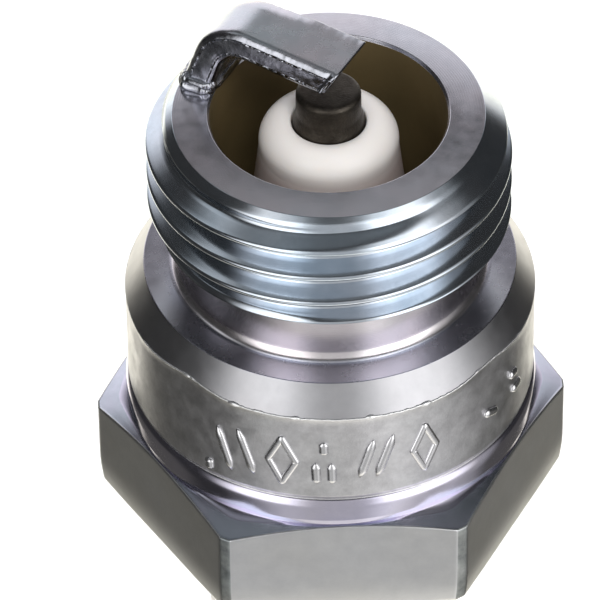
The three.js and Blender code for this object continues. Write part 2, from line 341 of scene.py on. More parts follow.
FACE, THREAD, NECK, CONE, BAND, RING, HEX_UP, HEX_SIDE, HEX_CORNER, SHOULDER, COLLAR, BORE = range(12)
shell_materials = [
    metal("plated_end_face", (0.63, 0.64, 0.70), (0.65, 0.62, 0.67), 0.19,
          lathe=0.02, turned=0.6, cloud=0.04),
    metal("plated_thread", (0.57, 0.65, 0.735), (0.62, 0.66, 0.72), 0.16, grain=0.001, spread=0.01),
    metal("plated_neck", (0.86, 0.79, 0.81), (0.80, 0.77, 0.80), 0.22, lathe=0.02, cloud=0.05),
    metal("plated_cone", (0.47, 0.47, 0.49), (0.45, 0.445, 0.46), 0.33, lathe=0.02, cloud=0.06),
    metal("plated_band", (0.65, 0.64, 0.66), (0.60, 0.60, 0.61), 0.36, grain=0.12, cloud=0.22, spread=0.05),
    metal("plated_ring", (0.64, 0.62, 0.77), (0.63, 0.60, 0.68), 0.16, cloud=0.05),
    metal("plated_hexagon_end", (0.58, 0.64, 0.72), (0.62, 0.61, 0.72), 0.24, cloud=0.05),
    metal("plated_hexagon_flat", (0.61, 0.615, 0.63), (0.59, 0.59, 0.59), 0.32, grain=0.004, cloud=0.06),
    metal("plated_hexagon_corner", (0.30, 0.33, 0.34), (0.40, 0.41, 0.40), 0.42, grain=0.12, cloud=0.4),
    metal("plated_shoulder", (0.44, 0.435, 0.50), (0.42, 0.41, 0.46), 0.26,
          lathe=0.02, turned=0.5, cloud=0.05, grain=0.001),
    metal("plated_collar", (0.62, 0.62, 0.66), (0.60, 0.60, 0.61), 0.26, lathe=0.02),
    metal("fired_bore", (0.15, 0.108, 0.05), (0.10, 0.075, 0.035), 0.5, lathe=0.03, bare=0.2),
]
mark_metal = metal("plated_relief", (0.72, 0.71, 0.73), (0.66, 0.66, 0.67), 0.26, grain=0.02)
# paler than the rest of the plating: painted highlight along the seat's edge
burr_highlight_metal = metal("plated_burr_painted_highlight", (0.92, 0.92, 0.92), (0.85, 0.85, 0.85), 0.45, grain=0.02)
strap_metal = metal("nickel_strap_metal", (0.58, 0.64, 0.69), (0.67, 0.62, 0.67), 0.27,
                    grain=0.004, cloud=0.05)
strap_cut_metal = metal("nickel_sheared_metal", (0.50, 0.51, 0.56), (0.40, 0.41, 0.45), 0.22,
                        grain=0.05, cloud=0.25)
tip_metal = metal("nickel_tip_metal", (0.10, 0.085, 0.07), (0.055, 0.05, 0.043), 0.45,
                  grain=0.25, cloud=0.5)
# the last colour is painted shade for the nose inside the bore
nose_ceramic = ceramic("alumina_body", (0.74, 0.715, 0.695), (0.70, 0.665, 0.64),
                       (0.40, 0.335, 0.32), 0.42, 0.08)
stud_metal = metal("terminal_metal", (0.60, 0.60, 0.61), (0.56, 0.56, 0.57), 0.28, lathe=0.04)
nut_metal = metal("terminal_nut_metal", (0.68, 0.68, 0.69), (0.62, 0.62, 0.63), 0.22, lathe=0.05)
copper_metal = metal("copper_core_metal", (0.72, 0.43, 0.30), (0.62, 0.36, 0.26), 0.35, grain=0.02)
packing_metal = metal("packing_steel_metal", (0.50, 0.51, 0.53), (0.42, 0.43, 0.45), 0.45, grain=0.03)
talc_powder = powder("talc_powder", (0.85, 0.84, 0.80), (0.74, 0.72, 0.68), 0.95, 6)
seal_glass = powder("seal_glass", (0.25, 0.19, 0.16), (0.42, 0.24, 0.16), 0.4, 5)
resistor_mix = powder("resistor_mix", (0.14, 0.13, 0.13), (0.24, 0.22, 0.2), 0.85, 7)


# ---------- shell ----------
def smooth_min(a, b, k):
    """The lower of a and b, with the corner between them rounded over a width k."""
    h = np.maximum(k - np.abs(a - b), 0) / k
    return np.minimum(a, b) - h * h * k / 4


def shell_angles():
    """Angles round the shell, close together at the hexagon's corners and even between them."""
    near = [0, 0.45, 0.9, 1.15, 1.27, 1.36, 1.45, 1.57, 1.8, 2.2, 2.8, 3.5]
    half = np.array(near + np.linspace(4.5, 30, 18).tolist())
    sector = np.concatenate((half, 60 - half[-2:0:-1]))
    return np.radians(np.concatenate([sector + 60 * k for k in range(6)]))


def hex_radius(angles):
    """Distance from the axis to the hexagon's wall, with its corners cut and eased."""
    turn = (angles + math.pi / 6) % (math.pi / 3) - math.pi / 6
    flat = HEX_HALF / np.cos(math.pi / 6 - np.abs(turn))
    cut = (HEX_HALF / math.cos(math.pi / 6) - CORNER_CUT) / np.cos(turn)
    return smooth_min(flat, cut, 0.05)


THREAD_LOW, THREAD_HIGH = 2.3, FACE_EDGE_Z - 0.12
FLAT_HALF, FLANK_RUN = 0.07, 0.3    # half a crest's width and a flank's length, as parts of the pitch
ROOT_EASE, CREST_EASE, CUT_EASE = 0.12, 0.05, 0.06
RUN_OUT_SLOPE, LEAD_IN_SLOPE = 1.25, 1.1
ROW_LAPS = 8            # laps tried each way from the front crest, more than the thread has
ROW_PHASES = [0, 0.045, 0.075, 0.105, 0.16, 0.28, 0.345, 0.385, 0.44, 0.5]


def thread_radius(angle, z):
    """Radius of a right-hand thread with eased crests and roots."""
    phase = (z - FRONT_CREST) / PITCH - (angle + math.pi / 2) / (2 * math.pi)
    away = abs(phase - round(phase))
    flank = CREST + (FLAT_HALF - away) * (CREST - ROOT) / FLANK_RUN
    eased = -smooth_min(-flank, -ROOT, ROOT_EASE)
    return float(smooth_min(eased, CREST, CREST_EASE))


def thread_envelope(z):
    """The turned outline that the thread is cut in: run-out cone and lead-in chamfer."""
    run_out = NECK_R + (z - THREAD_LOW) * RUN_OUT_SLOPE
    chamfer = FACE_R + (FACE_EDGE_Z - z) * LEAD_IN_SLOPE
    return float(smooth_min(run_out, chamfer, 0.08))


def cut_radius(angle, z):
    """Radius of the finished thread: the helix cut in its turned outline."""
    return float(smooth_min(thread_radius(angle, z), thread_envelope(z), CUT_EASE))


def thread_point(angle, z):
    r = cut_radius(angle, z)
    return r * math.cos(angle), r * math.sin(angle), z


def thread_surface(surface, low_ring, high_ring, angles):
    """Fills the threaded length with rows that follow the helix, between two flat rings."""
    phases = sorted(set(ROW_PHASES + [1 - p for p in ROW_PHASES[1:]]))[:-1]
    per_turn = len(phases)
    count = len(angles)

    def row_z(row, turn):
        lap, k = divmod(row, per_turn)
        return FRONT_CREST + PITCH * (lap + phases[k] + turn + 0.25)

    columns = []
    margin = 0.004
    for j, angle in enumerate(angles):
        turn = angle / (2 * math.pi)
        column = {}
        for row in range(-ROW_LAPS * per_turn, ROW_LAPS * per_turn):
            z = row_z(row, turn)
            if THREAD_LOW + margin < z < THREAD_HIGH - margin:
                column[row] = len(surface.points)
                surface.points.append(thread_point(angle, z))
        columns.append(column)
    columns.append({row - per_turn: v for row, v in columns[0].items()})
    for j in range(count):
        left, right = columns[j], columns[j + 1]
        k = (j + 1) % count
        shared = sorted(set(left) & set(right))
        first, final = shared[0], shared[-1]
        for a, b in zip(shared, shared[1:]):
            surface.face((left[a], right[a], right[b], left[b]), THREAD)
        entering = [right[row] for row in sorted(right) if row < first]
        leaving = [left[row] for row in sorted(left) if row < first]
        fan(surface, [low_ring[j], *leaving, left[first]], [low_ring[k], *entering, right[first]])
        above_right = [right[row] for row in sorted(right) if row > final]
        above_left = [left[row] for row in sorted(left) if row > final]
        fan(surface, [left[final], *above_left, high_ring[j]], [right[final], *above_right, high_ring[k]])


def fan(surface, left, right):
    """Joins two upward runs of vertices whose counts may differ."""
    i = k = 0
    while i < len(left) - 1 or k < len(right) - 1:
        if i == len(left) - 1:
            surface.face((left[i], right[k], right[k + 1]), THREAD)
            k += 1
        elif k == len(right) - 1:
            surface.face((left[i], right[k], left[i + 1]), THREAD)
            i += 1
        else:
            surface.face((left[i], right[k], right[k + 1], left[i + 1]), THREAD)
            i += 1
            k += 1


def seat_lift(angles):
    """How far the cone's lower edge rises where the forged band runs a little narrow."""
    bearing = (np.degrees(angles) + 270) % 360 - 180
    return SEAT_LIFT * np.exp(-((np.abs(bearing) - LIFT_BEARING) / LIFT_SPREAD) ** 2)


def face_z(r):
    """Height of the slightly domed end face."""
    out = max(r - BORE_R, 0)
    return FACE_Z - FACE_FALL * out - FACE_BOW * out * out


def shell():
    surface, angles = Surface(), shell_angles()
    wall = hex_radius(angles)
    turn = np.degrees((angles + math.pi / 6) % (math.pi / 3) - math.pi / 6)
    corner = np.abs(turn) < 1.38
    rows = []

    def add(r, z, zone):
        rows.append((surface.ring(r, z, angles), zone))

    # crimped collar, from the lip's inner edge outwards and up to the hexagon
    lip = [(REAR_R, REAR_END, 0), (LIP_R, -13.1, 0.1), (LIP_R, COLLAR_LOW, 0.12)]
    for r, z in rounded([*lip, (5.5, COLLAR_LOW, 0)])[:-1]:
        add(r, z, COLLAR)
    for r, z in arc(COLLAR_R - COLLAR_ROUND, COLLAR_LOW + COLLAR_ROUND, COLLAR_ROUND, -90, 0, 10):
        add(r, z, COLLAR)
    for r, z in rounded([(COLLAR_R, -12.0, 0), (COLLAR_R, HEX_LOW, 0.25), (UNDER_R, HEX_LOW, 0)]):
        add(r, z, COLLAR)

    # hexagon: under cone, rounded edge, wall, crisp edge, upper cone
    def cone_rise(r, slope=HEX_SLOPE):
        return slope * np.maximum(r - HEX_HALF + HEX_EDGE, 0)

    inner = wall - HEX_LOW_EDGE - HEX_BARREL
    low_edge = HEX_LOW + cone_rise(inner, HEX_LOW_SLOPE)
    for t in (0.35, 0.7, 0.93, 1.0):
        r = UNDER_R + (inner - UNDER_R) * t
        add(r, HEX_LOW + cone_rise(r, HEX_LOW_SLOPE), HEX_SIDE)
    for a in np.radians((15, 30, 45, 60, 75, 90)):
        add(inner + HEX_LOW_EDGE * math.sin(a), low_edge + HEX_LOW_EDGE * (1 - math.cos(a)), HEX_SIDE)
    inner = wall - HEX_EDGE
    high_edge = HEX_TOP - cone_rise(inner)
    for t in (0.02, 0.08, 0.14, 0.2, 0.27, BARREL_PART, 0.5, 0.65, 0.82, 0.98):
        z = (low_edge + HEX_LOW_EDGE) * (1 - t) + (high_edge - HEX_EDGE) * t
        add(wall - HEX_BARREL * max(1 - t / BARREL_PART, 0) ** 2, z, HEX_SIDE)
    for a in np.radians((90, 68, 45, 22, 0)):
        add(inner + HEX_EDGE * math.sin(a), high_edge - HEX_EDGE * (1 - math.cos(a)), HEX_SIDE)
    start = RING_R - 0.13
    for t in (0.07, 0.3, 0.65):
        r = inner + (start - inner) * t
        add(r, HEX_TOP - cone_rise(r), HEX_UP)
    # ring and band
    for r, z in rounded([
        (start, HEX_TOP, 0), (RING_R - 0.17, RING_LOW + 0.02, 0.03), (RING_R - 0.03, RING_LOW + 0.06, 0.05),
        (RING_R, RING_LOW + 0.3, 0.3), (RING_R, BAND_LOW - 0.5, 0),
    ], steps=5):
        add(r, z, RING)
    for a in np.radians((12, 24, 36, 48, 60, 72, 82)):
        add(RING_R - 0.19 * (1 - math.cos(a)), BAND_LOW - 0.5 + 0.5 * math.sin(a), RING)
    for r, z in rounded([
        (RING_R - 0.185, BAND_LOW + 0.02, 0), (BAND_R - 0.07, BAND_LOW + 0.05, 0.05),
        (BAND_R, BAND_LOW + 0.22, 0.08), (BAND_R, BAND_TOP, 0),
    ]):
        add(r, z, BAND)
    # the band runs narrow where the seat's edge is lifted
    lift = seat_lift(angles)
    edge_r, edge_z = CONE_R - lift * CONE_SLOPE, CONE_Z + lift
    for t in (0.25, 0.5, 0.75, 0.92):
        ease = t * t * (3 - 2 * t)
        add(BAND_R - lift * CONE_SLOPE * ease, BAND_TOP * (1 - t) + (edge_z - 0.1) * t, BAND)
    add(edge_r - 0.02, edge_z - 0.08, BAND)
    add(edge_r - 0.004, edge_z - 0.03, BAND)
    add(edge_r, edge_z, BAND)
    add(edge_r - 0.03, edge_z + 0.05, CONE)
    for t in (0.2, 0.4, 0.6, 0.78):
        add(edge_r + (SHOULDER_R - edge_r) * t, edge_z + (SHOULDER_Z - edge_z) * t, CONE)
    # shoulder and relief neck
    for r, z in rounded([
        (SHOULDER_R + 0.06, SHOULDER_Z - 0.1, 0), (SHOULDER_R, SHOULDER_Z, 0.05),
        (NECK_R, SHOULDER_Z, 0.42), (NECK_R, THREAD_LOW - 0.1, 0),
    ], steps=7):
        add(r, z, CONE if z < SHOULDER_Z - 0.02 else SHOULDER if r > NECK_R + 0.25 else NECK)
    low_ring = surface.ring(NECK_R, THREAD_LOW, angles)
    rows.append((low_ring, NECK))
    for (low, _), (high, zone) in zip(rows, rows[1:]):
        surface.bridge(low, high, zone)
        if zone == HEX_SIDE:
            for j in np.nonzero(corner & np.roll(corner, -1))[0]:
                surface.zones[j - len(angles)] = HEX_CORNER
    first = rows[0][0]
    # thread
    high_r = np.array([cut_radius(a, THREAD_HIGH) for a in angles])
    high_ring = surface.ring(high_r, THREAD_HIGH, angles)
    thread_surface(surface, low_ring, high_ring, angles)
    # end face, bore, ledge and rear bore
    rows = [(high_ring, THREAD)]
    for r, z in rounded([
        (FACE_R + 0.066, FACE_EDGE_Z - 0.06, 0), (FACE_R, FACE_EDGE_Z, 0.04), (5.7, face_z(5.7), 0),
    ], steps=5)[:-1]:
        add(r, z, THREAD if r > FACE_R - 0.01 else FACE)
    for r in np.linspace(5.6, BORE_R + 0.25, 8):
        add(r, face_z(r), FACE)
    for r, z in rounded([
        (BORE_R + 0.2, face_z(BORE_R + 0.2), 0), (BORE_R + 0.1, face_z(BORE_R + 0.1), 0.03),
        (BORE_R, FACE_Z - 0.11, 0.05), (BORE_R, FACE_Z - 1.0, 0),
    ]):
        add(r, z, FACE if z > FACE_Z - 0.12 else BORE)
    bore_profile = rounded([
        (BORE_R, FACE_Z - 1.0, 0), (BORE_R, -0.5, 0.1), (LEDGE_R, -0.9, 0.1), (LEDGE_R, -1.6, 0.1),
        (REAR_R, -3.35, 0.1), (REAR_R, REAR_END, 0),
    ])
    for r, z in bore_profile[1:-1]:
        add(r, z, BORE)
    rows.append((first, BORE))
    for (low, _), (high, zone) in zip(rows, rows[1:]):
        surface.bridge(low, high, zone)
    return surface.make("shell_plated", shell_materials)


fit(shell(), PLUG, "plated_steel", "shell")


# ---------- small relief on the shell ----------
# The burr stands out over the front and fades by this bearing, over this many degrees, to this part.
BURR_END, BURR_FADE, BURR_LEAST = 72, 16, 0.1


def seat_burr():
    """The thin ragged edge that turning the cone leaves above the band."""
    surface = Surface()
    stations, around = 1200, 6
    rings = []
    for i in range(stations):
        angle = 2 * math.pi * i / stations
        c, s = math.cos(angle), math.sin(angle)
        lift = float(seat_lift(np.array(angle)))
        fine = noise.noise(Vector((c * 40, s * 40, 1.3)))
        blot = max(noise.noise(Vector((c * 11, s * 11, 6.1))) - 0.32, 0)
        bearing = (math.degrees(angle) + 270) % 360 - 180
        shown = min(max((BURR_END - abs(bearing)) / BURR_FADE, BURR_LEAST), 1)
        size = (0.024 + 0.016 * abs(fine) + 0.16 * blot) * shown
        r0 = CONE_R - lift * CONE_SLOPE + 0.006 * shown - 0.02 * (1 - shown)
        z0 = CONE_Z + lift + 0.03 * fine + 0.02
        start = len(surface.points)
        for k in range(around):
            b = 2 * math.pi * k / around
            r = r0 + size * math.cos(b)
            surface.points.append((r * c, r * s, z0 + size * 1.5 * math.sin(b)))
        rings.append(np.arange(start, len(surface.points)))
    for low, high in zip(rings, rings[1:] + rings[:1]):
        surface.bridge(high, low)
    return surface.make("shell_seat_burr", [burr_highlight_metal])


# Plain relief marks round the band. A bar runs between two points given as (bearing from the
# front in degrees, height in mm); a lozenge is (bearing, height, half width in degrees, half height).
BARS = [
    ((-36.5, -2.25), (-32.0, -4.25)), ((-30.0, -2.0), (-25.0, -4.1)),
    ((-7.6, -3.05), (-7.3, -4.1)), ((-3.2, -3.05), (-3.0, -4.1)), ((-5.4, -1.95), (-5.2, -2.6)),
    ((14.2, -1.9), (9.4, -3.9)), ((8.6, -2.0), (4.6, -3.85)),
    ((44.5, -3.0), (50.5, -3.3)), ((56.5, -2.3), (61.0, -2.35)), ((58.0, -3.2), (63.5, -3.1)),
    ((-39.5, -4.15), (-39.2, -4.65)),
]
LOZENGES = [(-17.0, -3.05, 4.0, 1.12), (23.5, -3.0, 3.6, 1.1)]
BAR_WIDTH, BAR_TALL, LOZENGE_WIDTH, LOZENGE_TALL = 0.38, 0.12, 0.30, 0.11
SUNK = 0.06             # how far a mark's sides reach below the band's surface


def unit_rows(vectors):
    return vectors / np.linalg.norm(vectors, axis=1)[:, None]


def relief(surface, path, width, tall, closed):
    """A low rounded bar on the band, along points given as (bearing in degrees, height)."""
    path = np.array(path)
    scale = np.array((math.radians(BAND_R), 1.0))
    flat = path * scale
    ahead = np.roll(flat, -1, axis=0) - flat
    behind = flat - np.roll(flat, 1, axis=0)
    if not closed:
        ahead[-1], behind[0] = behind[-1], ahead[0]
    along = unit_rows(unit_rows(ahead) + unit_rows(behind))
    crown = [(-math.cos(a), tall * math.sin(a)) for a in np.linspace(0.35, 2.79, 7)]
    section = [(-1.0, -SUNK), (-1.0, 0.0), *crown, (1.0, 0.0), (1.0, -SUNK)]
    rings = []
    for i, (point, way) in enumerate(zip(flat, along)):
        t = 1.0 if closed else min(1.0, 0.25 + min(i, len(flat) - 1 - i) * 0.4)
        start = len(surface.points)
        for across, out in section:
            spot = point + np.array((-way[1], way[0])) * across * width / 2 * t
            angle = spot[0] / BAND_R - math.pi / 2
            r = BAND_R + (out * t if out > 0 else out)
            surface.points.append((r * math.cos(angle), r * math.sin(angle), float(spot[1])))
        rings.append(np.arange(start, len(surface.points)))
    pairs = list(zip(rings, rings[1:])) + ([(rings[-1], rings[0])] if closed else [])
    for low, high in pairs:
        surface.bridge(high, low)
    if not closed:
        surface.face(list(rings[0]))
        surface.face(list(rings[-1])[::-1])


def band_marks():
    surface = Surface()
    for first, last in BARS:
        relief(surface, np.linspace(first, last, 12), BAR_WIDTH, BAR_TALL, False)
    for bearing, height, wide, tall in LOZENGES:
        loop = []
        for k in range(48):
            a = 2 * math.pi * k / 48
            c, s = math.cos(a), math.sin(a)
            loop.append((bearing + wide * c * abs(c), height + tall * s * abs(s)))
        relief(surface, loop, LOZENGE_WIDTH, LOZENGE_TALL, True)
    return surface.make("shell_band_marks", [mark_metal])


fit(seat_burr(), PLUG, "plated_steel")
fit(band_marks(), PLUG, "plated_steel")


# ---------- insulator ----------
def insulator():
    nose_r, nose_tip, hole = 2.66, 7.38, 1.42
    tail_r, groove, rib = 4.9, 4.4, 5.0
    ribs = []
    first_rib, rib_pitch, rib_count = -23.4, 2.3, 4
    for t in np.linspace(0, rib_count, 16 * rib_count + 1):
        z = first_rib - rib_pitch * (rib_count - 0.5 - t)
        ribs.append(((groove + rib) / 2 - (rib - groove) / 2 * math.cos(2 * math.pi * t), z))
    low = INSULATOR_LOW[2]
    outside = rounded([
        (2.1, low, 0), (3.35, low, 0.25), (3.9, low + 1.2, 0.5), (ribs[0][0], ribs[0][1], 0),
    ])[:-1] + ribs + rounded([
        (ribs[-1][0], ribs[-1][1], 0), (tail_r, -21.1, 0.5), (tail_r, -9.6, 0.3), (5.55, -9.0, 0.3),
        (5.55, -3.75, 0.3), (3.45, -1.65, 0.3), (3.3, -0.4, 0.4), (2.95, 3.6, 2.5),
        (nose_r, nose_tip - 1.3, 0.8), (nose_r, nose_tip - 1.05, 0),
    ])[1:-1] + arc(nose_r - 1.0, nose_tip - 1.0, 1.0, 5, 84, 14) + rounded([
        (nose_r - 1.0, nose_tip, 0), (hole, nose_tip - 0.05, 0.1), (hole, -4.9, 0.1), (2.1, -5.73, 0.1),
        (2.1, low, 0),
    ])[:-1]
    return turned("insulator_alumina", outside, nose_ceramic, 224, closed=True)


fit(insulator(), PLUG, "alumina", "insulator")


# ---------- centre electrode ----------
def center_electrode():
    top = TIP_HIGH[2]
    return turned("center_electrode_tip", [(0, 7.32)] + rounded([
        (0.62, 7.32, 0), (0.62, -6.2, 0), (1.95, -6.2, 0.1), (1.95, -5.6, 0.1), (1.27, -5.02, 0.1),
        (1.27, 6.2, 0.1), (1.37, 6.5, 0.1), (1.385, 7.25, 0.12), (1.24, 7.8, 0.5),
        (1.23, top, 0.2), (0.2, top, 0),
    ]) + [(0, top)], tip_metal, 128)


fit(center_electrode(), PLUG, "nickel_tip", "center_electrode")


# ---------- ground electrode ----------
STRAP = {"width": 2.45, "thick": 1.24, "azimuth": math.radians(148.25), "bend_r": 3.1, "bend_z": 8.95,
         "bend": 1.51, "lean": math.radians(19.1), "fall": math.radians(6.1), "arm": 3.68}
END_SLOPE, END_BACK = 0.27, 0.12    # the sheared end's lean over half the thickness, and its setback
END_REACH, RAGGED_REACH = 0.7, 0.45     # how far from the tip its lean and its torn corner begin
SHEAR_REACH, ROLL_REACH = 0.28, 0.5     # how far in from an edge it is torn, and rolled over
ROLL_FADE = 1.6                         # run along the arm over which the rolled far edge dies out
STRAP_ALONG = np.array((math.cos(STRAP["azimuth"]), math.sin(STRAP["azimuth"])))
STRAP_ACROSS = np.array((-STRAP_ALONG[1], STRAP_ALONG[0]))


def leg_radius(z):
    """Distance of the leg's middle from the axis at a height."""
    lean = STRAP["lean"]
    return STRAP["bend_r"] + STRAP["bend"] / math.cos(lean) + (STRAP["bend_z"] - z) * math.tan(lean)


def strap_path():
    """Middle of the strap: radius, height, outward normal (two numbers) and run along the arm."""
    lean, fall, bend = STRAP["lean"], STRAP["fall"], STRAP["bend"]
    middle_r, middle_z = STRAP["bend_r"], STRAP["bend_z"]
    path = []
    for z in np.linspace(FACE_Z - 0.05, middle_z + bend * math.sin(lean), 24, endpoint=False):
        path.append((leg_radius(z), z, math.cos(lean), math.sin(lean), 0))
    for a in np.linspace(lean, math.pi / 2 + fall, 40):
        c, s = math.cos(a), math.sin(a)
        path.append((middle_r + bend * c, middle_z + bend * s, c, s, 0))
    r, z = path[-1][:2]
    for t in np.linspace(0, STRAP["arm"], 70)[1:]:
        path.append((r - t * math.cos(fall), z - t * math.sin(fall), -math.sin(fall), math.cos(fall), t))
    return path


def strap_section():
    """Points round the strap's section as (across, outward): near edges rolled over, far ones crisp."""
    w, t = STRAP["width"] / 2, STRAP["thick"] / 2
    section = []
    corners = ((-w, -t, 0.12), (w, -t, 0.30), (w, t, 0.34), (-w, t, 0.1))
    for i, (x, y, radius) in enumerate(corners):
        cx, cy = x - math.copysign(radius, x), y - math.copysign(radius, y)
        start = (180 + 90 * i) % 360
        section += [(px, py) for px, py in arc(cx, cy, radius, start, start + 90, 7)]
        nx, ny = corners[(i + 1) % 4][:2]
        for s in np.linspace(0.2, 0.8, 9):
            section.append((x + (nx - x) * s, y + (ny - y) * s))
    return section


def strap_point(r, z, out_r, out_z, across, outward):
    x, y = STRAP_ALONG * (r + out_r * outward) + STRAP_ACROSS * across
    return float(x), float(y), float(z + out_z * outward)


def ground_electrode():
    surface = Surface()
    path, section = strap_path(), strap_section()
    w, t = STRAP["width"] / 2, STRAP["thick"] / 2
    rings = []
    fall = STRAP["fall"]
    for r, z, out_r, out_z, run in path:
        start = len(surface.points)
        for across, outward in section:
            side = max(abs(across) - (w - SHEAR_REACH), 0) / SHEAR_REACH
            spot = Vector((r * 0.9, z * 0.9, outward * 2 + math.copysign(9, across)))
            torn = 0.03 * abs(noise.noise(spot * 1.2)) + 0.012 * abs(noise.noise(spot * 6))
            nick = noise.noise(Vector((r * 5, z * 5, math.copysign(3, across))))
            across -= math.copysign(torn * side, across)
            outward += 0.035 * nick * side * max(outward / t, 0)
            # the far edge is rolled over at the bend, and the near corner of the tip is torn
            bent = max(1 - run / ROLL_FADE, 0)
            far = max((ROLL_REACH - w - across) / ROLL_REACH, 0)
            outward -= 0.17 * far * far * bent * max(outward / t, 0)
            to_tip = STRAP["arm"] - run
            ragged = max(1 - to_tip / RAGGED_REACH, 0) * side * (across > 0) * (run > 0)
            across += 0.22 * ragged * noise.noise(Vector((r * 4, z * 4, outward * 2)))
            outward += 0.16 * ragged * noise.noise(Vector((r * 5, z * 5, outward * 3 + 7)))
            # the shear leaves the tip's end leaning back under its upper edge
            lean = max(1 - to_tip / END_REACH, 0) if run > 0 else 0
            slip = (END_SLOPE * outward / t - END_BACK) * lean
            surface.points.append(strap_point(r - slip * math.cos(fall), z - slip * math.sin(fall),
                                              out_r, out_z, across, outward))
        rings.append(np.arange(start, len(surface.points)))
    sheared = [abs(across) > w - 0.16 for across, _ in section]
    cut = [a and b for a, b in zip(sheared, sheared[1:] + sheared[:1])]
    for low, high in zip(rings, rings[1:]):
        for j in range(len(low)):
            k = (j + 1) % len(low)
            surface.face((low[j], low[k], high[k], high[j]), int(cut[j]))
    # sheared tip, with a torn burr along its lower edge
    end_r, end_z, out_r, out_z = path[-1][:4]
    last = rings[-1]
    for shrink, forward in ((0.985, 0.045), (0.95, 0.072), (0.88, 0.08), (0.5, 0.08)):
        start = len(surface.points)
        for across, outward in section:
            spot = Vector((across * 2, outward * 2, forward * 9))
            push = forward - 0.05 * abs(noise.noise(spot)) * (forward > 0.06)
            hang = max(0.2, noise.noise(Vector((across * 3, 1.0, 2.0))) + 0.6)
            torn = 0.09 * max(-outward / t, 0) * hang * (shrink > 0.6)
            slip = push + END_SLOPE * outward * shrink / t - END_BACK
            end = end_r - slip * math.cos(fall), end_z - slip * math.sin(fall) - torn
            surface.points.append(strap_point(*end, out_r, out_z, across * shrink, outward * shrink))
        ring = np.arange(start, len(surface.points))
        for j in range(len(ring)):
            k = (j + 1) % len(ring)
            surface.face((last[j], last[k], ring[k], ring[j]), 1)
        last = ring
    surface.face(list(last), 1)
    surface.face(list(rings[0])[::-1], 1)
    return surface.make("ground_electrode_strap", [strap_metal, strap_cut_metal])


def weld_flash():
    """The uneven rolls of upset metal round the strap's foot, one above the other."""
    surface = Surface()
    x, y = STRAP["thick"] / 2, STRAP["width"] / 2
    stations, around = 140, 18
    for height, roll, seed in ((0.10, 0.21, 3.1), (0.38, 0.19, 8.4)):
        rings = []
        foot = leg_radius(FACE_Z + height)
        for i in range(stations):
            a = 2 * math.pi * i / stations
            c, s = math.cos(a), math.sin(a)
            px = x * math.copysign(abs(c) ** 0.35, c)
            py = y * math.copysign(abs(s) ** 0.35, s)
            size = roll * (1 + 0.35 * noise.noise(Vector((c * 2.2, s * 2.2, seed))))
            tall = 1.1 + 0.35 * noise.noise(Vector((c * 3.1, s * 3.1, seed + 4)))
            rise = 0.06 * noise.noise(Vector((c * 2.6, s * 2.6, seed + 9)))
            start = len(surface.points)
            for k in range(around):
                b = 2 * math.pi * k / around
                rough = 1 + 0.25 * noise.noise(Vector((c * 7, s * 7, b * 0.9 + seed)))
                out = size * math.cos(b) * rough
                up = size * tall * math.sin(b) * rough
                wx, wy = STRAP_ALONG * (foot + px + c * out * 0.9) + STRAP_ACROSS * (py + s * out * 0.9)
                surface.points.append((float(wx), float(wy), float(FACE_Z + height + rise + up)))
            rings.append(np.arange(start, len(surface.points)))
        for low, high in zip(rings, rings[1:] + rings[:1]):
            surface.bridge(high, low)
    return surface.make("ground_electrode_weld", [strap_cut_metal])


fit(ground_electrode(), PLUG, "nickel_strap", "ground_electrode")
fit(weld_flash(), PLUG, "nickel_strap")


# ---------- terminal ----------
def terminal_stud():
    post, end = 1.95, STUD_LOW[2]
    flange_r, flange_low, flange_top, foot = 3.0, -35.4, -34.3, -18.7
    pitch, depth, steps = 0.7, 0.38, 150
    surface, angles = Surface(), circle(96)
    rings = []
    for r, z in rounded([(0.4, end, 0), (post - 0.3, end, 0.05), (post - 0.3, end + 0.05, 0)])[:-1]:
        rings.append(surface.ring(r, z, angles))
    for z in np.linspace(end + 0.06, flange_low - 0.05, steps):
        phase = (z / pitch - angles / (2 * math.pi)) % 1
        tooth = np.abs(phase - 0.5) * 2
        r = post - depth * np.clip(1.15 * tooth - 0.08, 0, 1)
        fade = min(1.0, (flange_low - z) / 0.6)
        r = (post - 0.35) * (1 - fade) + r * fade
        r = np.minimum(r, post - 0.3 + (z - end) * 1.0)
        rings.append(surface.ring(r, z, angles))
    rest = rounded([
        (1.6, flange_low, 0), (1.62, flange_low + 0.01, 0.01), (flange_r, flange_low + 0.01, 0.12),
        (flange_r, flange_top, 0.12), (1.85, flange_top, 0.1), (1.85, -19.1, 0.2), (1.4, foot, 0.1),
        (0.4, foot, 0),
    ])
    for r, z in rest[1:]:
        rings.append(surface.ring(r, z, angles))
    surface.cap(rings[0], end, top=False)
    for low, high in zip(rings, rings[1:]):
        surface.bridge(low, high)
    surface.cap(rings[-1], foot)
    return surface.make("terminal_stud_threaded", [stud_metal])


def terminal_nut():
    end, top = NUT_LOW[2], NUT_HIGH[2]
    hole, base, waist, head = 2.02, 3.1, 2.62, 3.17
    profile = rounded([
        (hole, end + 0.3, 0), (hole + 0.25, end, 0.05), (head - 0.45, end, 0.2), (head, end + 0.45, 0.3),
        (head, end + 2.3, 0.6), (waist, end + 3.3, 0.7), (waist, top - 2.6, 0.3), (base, top - 2.0, 0.15),
        (base, top, 0.15), (hole, top, 0.08), (hole, end + 0.4, 0),
    ], steps=6)
    return turned("terminal_nut_turned", profile, nut_metal, 160, closed=True)


fit(terminal_stud(), PLUG, "terminal_steel", "terminal_stud")
fit(terminal_nut(), NUT, "terminal_nut_steel", "terminal_nut")


